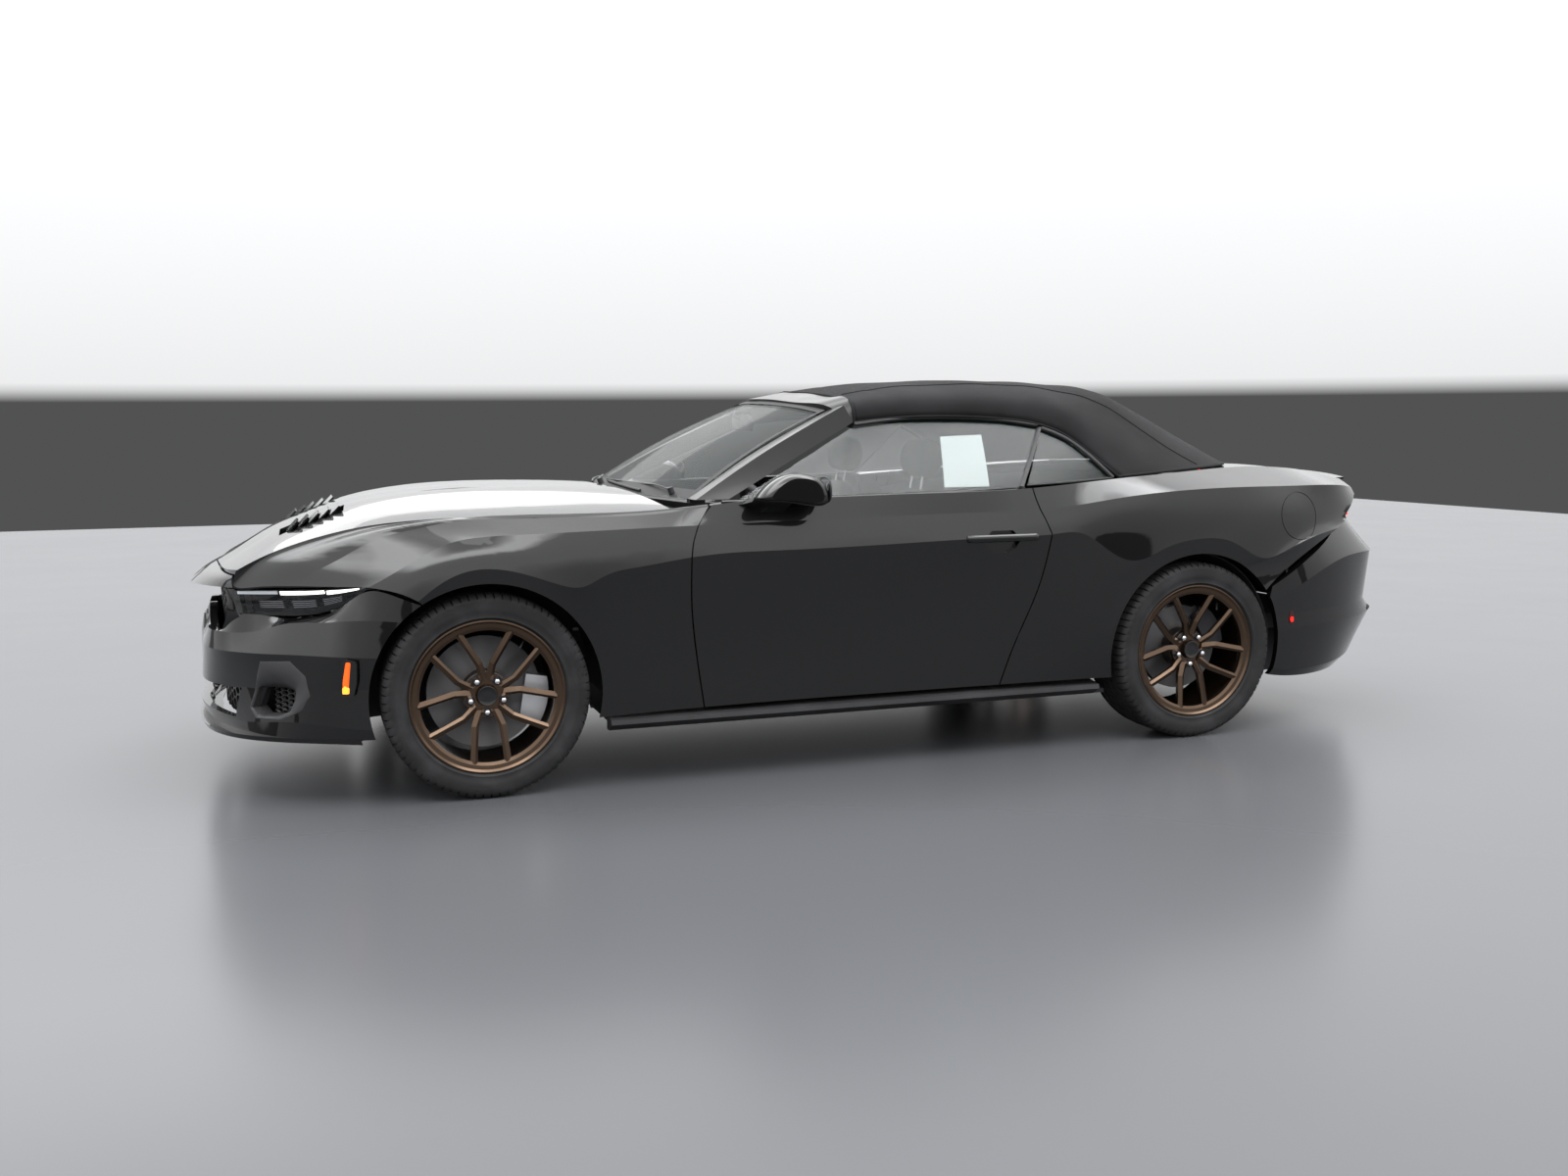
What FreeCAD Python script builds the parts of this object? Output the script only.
import FreeCAD, Part
import math
import os

# A two-door convertible muscle car with its soft top raised, in millimetres.
# X points to the nose, Y to the driver's left and Z up. The origin lies on the
# ground under the middle of the car.

# Overall sizes
LENGTH = 4811.0
WHEELBASE = 2720.0
FRONT_OVERHANG = 925.0
FRONT_AXLE_X = LENGTH / 2 - FRONT_OVERHANG
REAR_AXLE_X = FRONT_AXLE_X - WHEELBASE
NOSE_X = LENGTH / 2
TAIL_X = -LENGTH / 2

# Wheels
TYRE_RADIUS = 343.3
TYRE_WIDTH = 255.0
RIM_RADIUS = 257.0
RIM_SEAT_RADIUS = 236.0
RIM_WALL = 9.0
FRONT_WHEEL_FACE_Y = 912.0
REAR_WHEEL_FACE_Y = 938.0
WHEEL_Z = TYRE_RADIUS
HUB_RADIUS = 78.0
DISC_THICKNESS = 30.0
FRONT_DISC_RADIUS = 190.0
REAR_DISC_RADIUS = 165.0
SPOKE_PAIRS = 5
ARCH_RADIUS = 381.0
FRONT_LINER_RADIUS = 420.0
REAR_LINER_RADIUS = 378.0
LINER_WALL = 4.0
LINER_FOOT_Z = 215.0
BEAD = 0.85
TREAD_SHARE = 0.77
DISC_SETBACK = 130.0
HUB_SETBACK = 75.0
PLATE_SCREW_SPACING = 177.8
PLATE_SCREW_RADIUS = 3.0
PLATE_SCREW_Z = 600.0
TAILPIPE_RADIUS = 42.0
TAILPIPE_Y = (300.0, 405.0)
TAILPIPE_Z = 290.0
PIPE_RADIUS = 24.0
FLAP_CENTRE = (-1720.0, 854.0)
FLAP_RADIUS = 92.0
FLAP_GROOVE = 3.0
SEAT_Y = 412.0
STEERING_CENTRE = (330.0, 370.0, 830.0)
STEERING_RAKE = 25.0
KINGPIN_Y = 700.0
KINGPIN_RADIUS = 34.0
DOOR_HINGE = (700.0, 890.0)
HINGE_LEVELS = (455.0, 625.0)
HINGE_HEIGHT = 50.0
HINGE_RADIUS = 9.0
SILL_TOP = 390.0

# Panels and gaps
PANEL_GAP = 5.0
FENDER_SKIN = 5.0
DOOR_REAR_TAPER = 32.0
DOOR_FRONT_TAPER = 10.0
DOOR_THICKNESS = 105.0
QUARTER_THICKNESS = 45.0
GLASS_THICKNESS = 5.0
TOP_THICKNESS = 14.0
SEAM = 0.3

DEG = math.pi / 180.0


def vec(x, y, z):
    return FreeCAD.Vector(x, y, z)


def mix(a, b, t):
    return a + (b - a) * t


# Splines through evenly numbered points
_inverse_cache = {}


def basis_values(i, degree, t, knots):
    if degree == 0:
        inside = knots[i] <= t < knots[i + 1]
        at_end = t == knots[-1] and knots[i] < t == knots[i + 1]
        return 1.0 if inside or at_end else 0.0
    left = 0.0
    right = 0.0
    if knots[i + degree] > knots[i]:
        left = (t - knots[i]) / (knots[i + degree] - knots[i]) * basis_values(i, degree - 1, t, knots)
    if knots[i + degree + 1] > knots[i + 1]:
        span = knots[i + degree + 1] - knots[i + 1]
        right = (knots[i + degree + 1] - t) / span * basis_values(i + 1, degree - 1, t, knots)
    return left + right


def invert(matrix):
    n = len(matrix)
    work = [row[:] + [1.0 if i == j else 0.0 for j in range(n)] for i, row in enumerate(matrix)]
    for c in range(n):
        pivot = max(range(c, n), key=lambda r: abs(work[r][c]))
        work[c], work[pivot] = work[pivot], work[c]
        scale = work[c][c]
        work[c] = [value / scale for value in work[c]]
        for r in range(n):
            if r != c and work[r][c] != 0.0:
                factor = work[r][c]
                work[r] = [a - factor * b for a, b in zip(work[r], work[c])]
    return [row[n:] for row in work]


def inverse_for(n):
    if n not in _inverse_cache:
        knots = [0.0] * 3 + [float(i) for i in range(n)] + [float(n - 1)] * 3
        count = n + 2
        matrix = []
        start = [0.0] * count
        start[0], start[1], start[2] = 2.0, -3.0, 1.0
        matrix.append(start)
        for i in range(n):
            matrix.append([basis_values(k, 3, float(i), knots) for k in range(count)])
        end = [0.0] * count
        end[-1], end[-2], end[-3] = 2.0, -3.0, 1.0
        matrix.append(end)
        _inverse_cache[n] = invert(matrix)
    return _inverse_cache[n]


def poles_of(points):
    n = len(points)
    if n == 2:
        return list(points)
    inverse = inverse_for(n)
    poles = []
    for row in inverse:
        total = vec(0, 0, 0)
        for weight, point in zip(row[1:-1], points):
            total = total + point * weight
        poles.append(total)
    return poles


def knots_of(n):
    if n == 2:
        return [0.0, 1.0], [2, 2], 1
    return [float(i) for i in range(n)], [4] + [1] * (n - 2) + [4], 3


def grid_face(grid):
    along = [poles_of(row) for row in grid]
    across = [poles_of([row[k] for row in along]) for k in range(len(along[0]))]
    u_knots, u_mults, u_degree = knots_of(len(grid[0]))
    v_knots, v_mults, v_degree = knots_of(len(grid))
    surface = Part.BSplineSurface()
    surface.buildFromPolesMultsKnots(across, u_mults, v_mults, u_knots, v_knots,
                                     False, False, u_degree, v_degree)
    return surface.toShape()


def spline_through(points, count):
    # Points spaced by length on a smooth curve through the given points
    if len(points) == 2:
        return [mix(points[0], points[1], i / (count - 1)) for i in range(count)]
    curve = Part.BSplineCurve()
    curve.interpolate(points)
    return curve.discretize(count)


def solid_from(faces):
    shell = Part.makeCompound(faces)
    shell.sewShape(0.01)
    solid = Part.Solid(shell.Shells[0] if shell.ShapeType != "Shell" else shell)
    if solid.Volume < 0:
        solid.reverse()
    return solid


def panel(outer, inner, u_breaks=(), v_breaks=()):
    # A closed solid between two grids of points, creased at the given columns and rows
    n = len(outer[0])
    m = len(outer)
    columns = [0] + list(u_breaks) + [n - 1]
    rows = [0] + list(v_breaks) + [m - 1]
    faces = []
    for r0, r1 in zip(rows, rows[1:]):
        for c0, c1 in zip(columns, columns[1:]):
            for grid in (outer, inner):
                faces.append(grid_face([row[c0:c1 + 1] for row in grid[r0:r1 + 1]]))
    for r in (0, m - 1):
        for c0, c1 in zip(columns, columns[1:]):
            faces.append(grid_face([outer[r][c0:c1 + 1], inner[r][c0:c1 + 1]]))
    for c in (0, n - 1):
        for r0, r1 in zip(rows, rows[1:]):
            ends = [[grid[r][c] for r in range(r0, r1 + 1)] for grid in (outer, inner)]
            faces.append(grid_face(ends))
    return solid_from(faces)


def normals_of(grid):
    m = len(grid)
    n = len(grid[0])
    result = []
    for r in range(m):
        row = []
        for c in range(n):
            du = grid[r][min(c + 1, n - 1)] - grid[r][max(c - 1, 0)]
            dv = grid[min(r + 1, m - 1)][c] - grid[max(r - 1, 0)][c]
            normal = du.cross(dv)
            normal.normalize()
            row.append(normal)
        result.append(row)
    return result


def offset_grid(grid, distance, toward):
    # Every point moved by the distance along its normal, to the side where toward points
    result = []
    for row, normal_row in zip(grid, normals_of(grid)):
        moved = []
        for point, normal in zip(row, normal_row):
            aim = toward(point)
            side = 1.0 if normal.dot(aim) > 0 else -1.0
            moved.append(point + normal * (side * distance))
        result.append(moved)
    return result


def curve_of(nodes):
    # Natural cubic spline of several values over x, nodes in falling or rising x
    nodes = sorted(nodes)
    xs = [node[0] for node in nodes]
    n = len(xs)
    dims = len(nodes[0]) - 1
    seconds = []
    for d in range(dims):
        ys = [node[d + 1] for node in nodes]
        matrix = [[0.0] * n for _ in range(n)]
        right = [0.0] * n
        matrix[0][0] = 1.0
        matrix[n - 1][n - 1] = 1.0
        for i in range(1, n - 1):
            h0 = xs[i] - xs[i - 1]
            h1 = xs[i + 1] - xs[i]
            matrix[i][i - 1] = h0
            matrix[i][i] = 2 * (h0 + h1)
            matrix[i][i + 1] = h1
            right[i] = 6 * ((ys[i + 1] - ys[i]) / h1 - (ys[i] - ys[i - 1]) / h0)
        inverse = invert(matrix)
        seconds.append([sum(a * b for a, b in zip(row, right)) for row in inverse])

    def value(x):
        i = 0
        while i < n - 2 and x > xs[i + 1]:
            i += 1
        h = xs[i + 1] - xs[i]
        a = (xs[i + 1] - x) / h
        b = (x - xs[i]) / h
        out = []
        for d in range(dims):
            ys = [node[d + 1] for node in nodes]
            if x < xs[0] or x > xs[-1]:
                slope_at = 0 if x < xs[0] else n - 1
                j = 0 if x < xs[0] else n - 2
                hj = xs[j + 1] - xs[j]
                s0 = (ys[j + 1] - ys[j]) / hj
                if slope_at == 0:
                    slope = s0 - hj / 6 * (2 * seconds[d][j] + seconds[d][j + 1])
                else:
                    slope = s0 + hj / 6 * (seconds[d][j] + 2 * seconds[d][j + 1])
                out.append(ys[slope_at] + slope * (x - xs[slope_at]))
            else:
                bend = (a ** 3 - a) * seconds[d][i] + (b ** 3 - b) * seconds[d][i + 1]
                out.append(a * ys[i] + b * ys[i + 1] + bend * h * h / 6)
        return out

    return value


# Side of the body: guide lines from the sill up to the belt, each (x, y, z)
SILL = curve_of([(1880, 868, 205), (1092, 905, 250), (760, 905, 258), (0, 903, 262),
                 (-560, 910, 262), (-860, 925, 262), (-1600, 925, 240), (-1900, 850, 240)])
LOWER = curve_of([(1900, 880, 400), (1092, 912, 425), (760, 908, 430), (0, 905, 430),
                  (-560, 917, 430), (-840, 938, 430), (-1600, 936, 420), (-1900, 870, 420)])
WAIST = curve_of([(1900, 884, 560), (1480, 930, 590), (1092, 924, 600), (760, 918, 610),
                  (0, 913, 615), (-560, 924, 620), (-900, 944, 600), (-1240, 950, 600), (-1600, 940, 580),
                  (-1900, 890, 560)])
WIDEST = curve_of([(1800, 915, 585), (1698, 933, 676), (1595, 941, 748), (1476, 944, 773), (1344, 943, 747),
                   (1232, 941, 708), (1165, 939, 700), (1092, 937, 733), (979, 935, 758), (766, 932, 787),
                   (460, 930, 797), (0, 929, 805), (-400, 931, 813), (-604, 934, 819), (-740, 938, 812),
                   (-810, 941, 768), (-885, 945, 722), (-964, 950, 710), (-1075, 955, 752), (-1236, 957, 783),
                   (-1384, 956, 762), (-1528, 950, 696), (-1610, 946, 712), (-1719, 935, 753), (-1892, 893, 791),
                   (-2016, 835, 803), (-2120, 765, 806)])
BULGE = curve_of([(1850, 872, 640), (1762, 907, 702), (1690, 917, 758), (1595, 922, 806), (1476, 925, 825),
                  (1344, 926, 814), (1232, 926, 800), (1092, 925, 808), (760, 919, 838), (460, 917, 846),
                  (0, 917, 852), (-560, 922, 864), (-840, 936, 862), (-1121, 946, 866), (-1240, 947, 870),
                  (-1426, 940, 866), (-1600, 925, 854), (-1720, 910, 852), (-1892, 868, 866), (-2041, 808, 872),
                  (-2140, 742, 876)])
SHOULDER = curve_of([(1850, 861, 718), (1760, 878, 768), (1700, 884, 803), (1600, 884, 852), (1480, 887, 873),
                     (1345, 891, 877), (1111, 896, 882), (760, 899, 890), (260, 900, 898), (-315, 902, 906),
                     (-653, 912, 916), (-875, 921, 944), (-1121, 927, 966), (-1426, 917, 975), (-1710, 880, 973),
                     (-2041, 788, 962), (-2140, 712, 948)])
CREST = curve_of([(2075, 722, 712), (2032, 731, 747), (1932, 749, 803), (1822, 768, 863), (1704, 787, 895),
                  (1587, 804, 918), (1345, 826, 925), (1111, 841, 925), (902, 854, 929), (731, 868, 948)])
SEAM_BAND = curve_of([(2184, 650, 711), (2120, 668, 768), (2020, 692, 820), (1900, 724, 866), (1760, 765, 902),
                      (1600, 794, 925), (1345, 820, 932), (1111, 836, 932), (902, 850, 936), (731, 863, 953)])
HOOD_SEAM = curve_of([(2252, 600, 764), (2184, 608, 800), (2110, 622, 832), (1990, 656, 872), (1850, 702, 905),
                      (1704, 752, 923), (1587, 784, 931), (1345, 815, 937), (1111, 831, 937), (902, 845, 942),
                      (731, 858, 957)])
NOSE_BAND = curve_of([(2258, 599, 708), (2222, 604, 746), (2184, 613, 776), (2110, 634, 812), (1990, 667, 854),
                      (1850, 710, 894), (1704, 756, 917), (1587, 787, 929), (1345, 816, 935), (1111, 833, 935),
                      (902, 847, 940), (731, 861, 956)])
BELT = curve_of([(731, 868, 952), (654, 872, 962), (423, 878, 972), (-137, 884, 979), (-503, 884, 987),
                 (-751, 866, 1003), (-931, 838, 1015), (-1244, 785, 1032), (-1519, 740, 1046),
                 (-1700, 718, 1044), (-1880, 702, 1028), (-2010, 690, 1004), (-2140, 672, 978)])


def halfway(a, b):
    return lambda x: [mix(p, q, 0.5) for p, q in zip(a(x), b(x))]


BAND = halfway(SHOULDER, BELT)
SIDE_LINES = [SILL, LOWER, WAIST, WIDEST, BULGE, SHOULDER, BAND, BELT]
FENDER_LINES = [SILL, LOWER, WAIST, WIDEST, BULGE, SHOULDER, CREST, SEAM_BAND, NOSE_BAND, HOOD_SEAM]
FENDER_TIPS = [1560, 1580, 1620, 1698, 1760, 1846, 2066, 2180, 2254, 2250]
WIDEST_ROW = 3
SHOULDER_ROW = 5
CREST_ROW = 6


def side_point(line, x):
    y, z = line(x)
    return vec(x, y, z)


def cut_line(nodes):
    # x of a seam over the height z
    line = curve_of([(z, x) for x, z in nodes])
    return lambda z: line(z)[0]


FRONT_DOOR_CUT = cut_line([(742, 255), (770, 453), (788, 640), (788, 774), (766, 865), (722, 932), (676, 975)])
REAR_DOOR_CUT = cut_line([(-400, 262), (-438, 380), (-512, 515), (-560, 653), (-602, 764), (-590, 840),
                          (-560, 910), (-540, 990)])
QUARTER_TAIL_CUT = cut_line([(-1500, 240), (-1500, 430), (-1575, 591), (-1735, 677), (-1925, 789),
                             (-2020, 835), (-2110, 868), (-2142, 900), (-2122, 950), (-2100, 990)])


def seam_x(line, cut, start):
    # Where a guide line meets a seam
    x = start
    for _ in range(30):
        x = mix(x, cut(line(x)[1]), 0.5)
    return x


def line_points(line, x0, x1, count):
    return [side_point(line, mix(x0, x1, i / (count - 1))) for i in range(count)]


def mirror(shape):
    return shape.mirror(vec(0, 0, 0), vec(0, 1, 0))


def pair(shape):
    return Part.makeCompound([shape, mirror(shape)])


def cylinder_y(radius, y0, y1, x, z):
    return Part.makeCylinder(radius, y1 - y0, vec(x, y0, z), vec(0, 1, 0))


def box(x0, x1, y0, y1, z0, z1):
    return Part.makeBox(x1 - x0, y1 - y0, z1 - z0, vec(x0, y0, z0))


def prism(points, direction):
    wire = Part.makePolygon(list(points) + [points[0]])
    return Part.Face(wire).extrude(direction)


def fuse(shapes):
    result = shapes[0]
    for shape in shapes[1:]:
        result = result.fuse(shape)
    return result.removeSplitter()


def save(name, shape):
    shape.exportStep("parts/" + name + ".step")
    print(name, "solids", len(shape.Solids), "valid", shape.isValid(),
          "litres %.2f" % (shape.Volume / 1e6))


# Side panels
def arch_cutter(x, radius=ARCH_RADIUS):
    return cylinder_y(radius, 560.0, 1100.0, x, WHEEL_Z)


def inboard(grid, distance):
    # The side grid moved toward the middle, its upper edge a little down as well
    moved = [[p + vec(0, -distance, 0) for p in row] for row in grid[:-1]]
    moved.append([p + vec(0, -distance, -0.2 * distance) for p in grid[-1]])
    return moved


def fender():
    grid = []
    crest_rear = seam_x(CREST, FRONT_DOOR_CUT, 760) + 1.6 * PANEL_GAP
    for line, tip in zip(FENDER_LINES, FENDER_TIPS):
        rear = seam_x(line, FRONT_DOOR_CUT, 760) + PANEL_GAP / 2
        if len(grid) >= CREST_ROW:
            rear = crest_rear
        grid.append(line_points(line, tip, rear, 21))
    inner = inboard(grid, FENDER_SKIN)
    for k in range(CREST_ROW, len(grid)):
        inner[k] = [p + vec(0, -0.2 * FENDER_SKIN, -FENDER_SKIN) for p in grid[k]]
    skin = panel(grid, inner, v_breaks=(WIDEST_ROW, SHOULDER_ROW, CREST_ROW))
    return skin.cut(arch_cutter(FRONT_AXLE_X))


def quarter():
    grid = []
    for line in SIDE_LINES:
        front = seam_x(line, REAR_DOOR_CUT, -560) - PANEL_GAP / 2
        rear = seam_x(line, QUARTER_TAIL_CUT, -1900) + PANEL_GAP / 2
        grid.append(line_points(line, front, rear, 25))
    skin = panel(grid, inboard(grid, QUARTER_THICKNESS), v_breaks=(WIDEST_ROW, SHOULDER_ROW))
    return skin.cut(arch_cutter(REAR_AXLE_X))


LAMP_CORNER = [(-1992, 826), (-2088, 893), (-2126, 921), (-2190, 930), (-2190, 800)]


def lamp_corner_cutter():
    # Wedge of the rear corner where the tail lamp reaches round to the side
    return prism([vec(x, 560, z) for x, z in LAMP_CORNER], vec(0, 400, 0))


def flap_groove(skin):
    # Round gap about the filler flap, cut only into the outer face
    x, z = FLAP_CENTRE
    ring = cylinder_y(FLAP_RADIUS + FLAP_GROOVE, 800, 1000, x, z).cut(cylinder_y(FLAP_RADIUS, 799, 1001, x, z))
    below = skin.copy()
    below.translate(vec(0, -FLAP_GROOVE, 0))
    return ring.cut(below)


def rear_quarters():
    skin = quarter().cut(lamp_corner_cutter())
    return Part.makeCompound([skin.cut(flap_groove(skin)), mirror(skin)])


def door_shell():
    grid = []
    for line in SIDE_LINES:
        front = seam_x(line, FRONT_DOOR_CUT, 760) - PANEL_GAP / 2
        rear = seam_x(line, REAR_DOOR_CUT, -560) + PANEL_GAP / 2
        grid.append(line_points(line, front, rear, 13))
    inner = []
    for row in grid:
        moved = []
        for i, p in enumerate(row):
            t = i / (len(row) - 1)
            taper = DOOR_REAR_TAPER * t * t - DOOR_FRONT_TAPER * (1 - t) ** 2
            moved.append(vec(p.x + taper, min(p.y - 35.0, 905.0 - DOOR_THICKNESS), p.z))
        inner.append(moved)
    return panel(grid, inner, v_breaks=(WIDEST_ROW, SHOULDER_ROW))


HANDLE_OUTLINE = [(-318, 806), (-352, 838), (-438, 838), (-470, 806), (-448, 772), (-420, 756), (-368, 756),
                  (-338, 772)]
HANDLE_Z = 811.0
HANDLE_X = (-262.0, -528.0)
HANDLE_DEPTH = 20.0


def handle_cup():
    # Hand recess behind the strap of the handle
    y = WIDEST(HANDLE_X[0])[0] - HANDLE_DEPTH
    return prism([vec(x, y, z) for x, z in HANDLE_OUTLINE], vec(0, 60, 0))


def handle_strap():
    # Flat bar that bridges the cup, with a foot at each end
    rows = []
    for x in (HANDLE_X[0], mix(HANDLE_X[0], HANDLE_X[1], 0.08), mix(HANDLE_X[0], HANDLE_X[1], 0.5),
              mix(HANDLE_X[0], HANDLE_X[1], 0.92), HANDLE_X[1]):
        y = WIDEST(x)[0]
        end = 1 if x in HANDLE_X else 0
        half = 8.0 if end else 11.0
        back = y - 6.0 if end else y + 1.0
        face = y + 2.0 if end else y + 11.0
        rows.append([vec(x, back, HANDLE_Z - half), vec(x, face, HANDLE_Z - half + 1),
                     vec(x, face, HANDLE_Z + half - 1), vec(x, back, HANDLE_Z + half)])
    wires = [Part.makePolygon(row + [row[0]]) for row in rows]
    return Part.makeLoft(wires, True, True)


def hinge_pocket(level):
    # Room in the door's front corner for the hinge on the pillar
    x, y = DOOR_HINGE
    clear = HINGE_RADIUS + 4.0
    return box(x - clear, x + 130, 780, y + clear, level - SEAM, level + HINGE_HEIGHT + SEAM)


def door():
    shell = door_shell().cut(door_glass()).cut(handle_cup()).fuse(handle_strap())
    for level in HINGE_LEVELS:
        shell = shell.cut(hinge_pocket(level))
    return shell


# Nose and tail: guide lines at several heights, from the middle to the left wheel arch
def wrap_grid(rows, half_count):
    grid = []
    for nodes in rows:
        half = spline_through([vec(*node) for node in nodes], half_count)
        right = [vec(p.x, -p.y, p.z) for p in reversed(half[1:])]
        grid.append(right + half)
    return grid


NOSE_LIP = [(2405, 0, 690), (2381, 300, 695), (2312, 480, 703), (2264, 588, 708)]
NOSE_BACK = [(2332, 0, 748), (2318, 200, 747), (2296, 420, 746), (2262, 590, 748)]
FACE_ROWS = [
    [(2375, 0, 566), (2348, 350, 566), (2300, 545, 566), (2252, 595, 618), (2140, 668, 615), (2015, 735, 619),
     (1928, 802, 654), (1852, 860, 707), (1764, 905, 691), (1700, 929, 666), (1630, 936, 646)],
    [(2385, 0, 560), (2355, 350, 560), (2308, 560, 562), (2193, 660, 570), (2107, 730, 598), (1993, 804, 606),
     (1900, 862, 614), (1790, 905, 612), (1700, 930, 602), (1630, 938, 595)],
    [(2395, 0, 500), (2375, 350, 500), (2325, 560, 502), (2250, 660, 503), (2172, 735, 504), (2082, 800, 505),
     (1960, 862, 500), (1850, 898, 495), (1760, 918, 490), (1630, 936, 480)],
    [(2398, 0, 384), (2385, 300, 384), (2350, 470, 383), (2265, 600, 382), (2190, 690, 382), (2120, 762, 382),
     (2046, 822, 385), (1950, 862, 390), (1850, 890, 392), (1760, 908, 395), (1630, 925, 400)],
    [(2390, 0, 268), (2365, 350, 266), (2313, 500, 264), (2240, 650, 270), (2170, 740, 280), (2091, 805, 286),
     (2000, 845, 275), (1900, 880, 262), (1780, 900, 255), (1630, 912, 250)],
    [(2385, 0, 240), (2360, 350, 240), (2300, 540, 240), (2220, 690, 238), (2120, 790, 235), (2000, 842, 230),
     (1895, 878, 226), (1780, 895, 226), (1630, 905, 226)],
]
LOWER_OPENING = [(-620, 378), (620, 378), (590, 276), (-590, 276)]
VENT_OPENING = [(676, 392), (716, 478), (790, 484), (818, 436), (826, 372), (812, 318), (770, 290), (690, 286),
                (662, 318)]
VENT_MESH = [(684, 380), (760, 384), (782, 360), (776, 312), (700, 300), (676, 320)]


def inset_rows(grid, depth, rise=0.0):
    # The same lines moved toward the middle of the car, in plan
    result = []
    for row in grid:
        n = len(row)
        moved = []
        for i in range(n):
            along = row[min(i + 1, n - 1)] - row[max(i - 1, 0)]
            normal = vec(-along.y, along.x, 0)
            normal.normalize()
            if normal.dot(vec(row[i].x, row[i].y * 0.5, 0)) > 0:
                normal = normal * -1.0
            moved.append(row[i] + normal * depth + vec(0, 0, rise))
        result.append(moved)
    return result


def yz_prism(outline, x0, depth):
    return prism([vec(x0, y, z) for y, z in outline], vec(depth, 0, 0))


def face_shell(out=0.0, depth=26.0):
    grid = wrap_grid(FACE_ROWS, 19)
    outer = inset_rows(grid, -out) if out else grid
    return panel(outer, inset_rows(grid, depth), v_breaks=(1, 2, 3, 4))


def front_face():
    face = face_shell()
    face = face.cut(yz_prism(LOWER_OPENING, 2150, 400))
    vent = yz_prism(VENT_OPENING, 1900, 400)
    for tool in (arch_cutter(FRONT_AXLE_X), marker_lamp(), vent, headlamp()):
        face = face.cut(tool).cut(mirror(tool))
    return face


def nose_panel():
    lip = wrap_grid([NOSE_LIP], 11)[0]
    back = wrap_grid([NOSE_BACK], 11)[0]
    middle = [mix(a, b, 0.5) + vec(3, 0, 5) for a, b in zip(lip, back)]
    grid = [lip, middle, back]
    inner = [[p + vec(-14, 0, -3) for p in lip], [p + vec(-14, 0, -16) for p in middle],
             [p + vec(-2, 0, -18) for p in back]]
    return panel(grid, inner)


def nose_strut():
    # Painted web between the grille and the lamp
    outer = [vec(2262, 560, 706), vec(2262, 590, 700), vec(2246, 602, 620), vec(2300, 552, 562),
             vec(2290, 572, 628)]
    front = [vec(2290, 545, 704), vec(2268, 586, 704)]
    middle = [vec(2282, 580, 640), vec(2252, 600, 628)]
    low = [vec(2306, 552, 561), vec(2240, 606, 616)]
    rows = [front, middle, low]
    inner = [[p + vec(-40, -8, 0) for p in row] for row in rows]
    return panel(rows, inner)


def front_fascia():
    strut = nose_strut().cut(headlamp())
    return fuse([front_face(), nose_panel(), strut, mirror(strut)])


LAMP_TOP = [(2262, 592, 700), (2160, 655, 703), (2040, 737, 707), (1935, 806, 714), (1856, 856, 720)]
LAMP_BOTTOM = [(2246, 606, 624), (2140, 671, 620), (2018, 739, 625), (1928, 802, 657), (1853, 858, 712)]


def headlamp():
    top = spline_through([vec(*p) for p in LAMP_TOP], 9)
    bottom = spline_through([vec(*p) for p in LAMP_BOTTOM], 9)
    grid = [top, [mix(a, b, 0.5) + vec(2, 2, 0) for a, b in zip(top, bottom)], bottom]
    inner = [[p + vec(-60, -45, 0) for p in row] for row in grid]
    return panel(grid, inner)


def marker_lamp():
    outline = [(1930, 372), (1942, 420), (1946, 486), (1906, 496), (1898, 420), (1896, 372)]
    return prism([vec(x, 870 - 0.45 * (x - 1936), z) for x, z in outline], vec(5, 12, 0))


def bar_mesh(outline, x, depth, pitch_y, pitch_z, bar):
    # Crossing bars inside an outline, with a rim round them
    ys = [y for y, z in outline]
    zs = [z for y, z in outline]
    whole = yz_prism(outline, x, depth)
    middle_y = (min(ys) + max(ys)) / 2
    middle_z = (min(zs) + max(zs)) / 2
    shrunk = []
    for y, z in outline:
        shrunk.append((middle_y + (y - middle_y) * 0.96, middle_z + (z - middle_z) * 0.86))
    ring = whole.cut(yz_prism(shrunk, x - 1, depth + 2))
    bars = []
    count = int((max(zs) - min(zs)) / pitch_z)
    for k in range(1, count + 1):
        z = min(zs) + (max(zs) - min(zs)) * k / (count + 1)
        bars.append(box(x, x + depth, min(ys) - 5, max(ys) + 5, z - bar / 2, z + bar / 2))
    count = int((max(ys) - min(ys)) / pitch_y)
    for k in range(1, count + 1):
        y = min(ys) + (max(ys) - min(ys)) * k / (count + 1)
        bars.append(box(x, x + depth, y - bar / 2, y + bar / 2, min(zs) - 5, max(zs) + 5))
    lattice = bars[0].multiFuse(bars[1:]).common(whole)
    return ring.fuse(lattice).removeSplitter()


UPPER_GRILLE = [(-528, 692), (528, 692), (566, 640), (541, 568), (-541, 568), (-566, 640)]
LOWER_GRILLE = [(-616, 374), (616, 374), (588, 280), (-588, 280)]


def vent_bezel():
    # Matt surround of the side vent, a little proud of the painted face
    ring = yz_prism(VENT_OPENING, 1900, 400).cut(yz_prism(VENT_MESH, 1890, 420))
    return face_shell(3.0, 40.0).common(ring)


def grille():
    upper = bar_mesh(UPPER_GRILLE, 2272, 12, 60, 20, 5)
    lower = bar_mesh(LOWER_GRILLE, 2230, 12, 60, 20, 5)
    mesh = bar_mesh(VENT_MESH, 2040, 8, 20, 16, 4)
    face = front_fascia()
    pieces = [part.cut(face) for part in (upper, lower, mesh, vent_bezel())]
    return Part.makeCompound(pieces + [mirror(part) for part in pieces[2:]])


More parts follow.
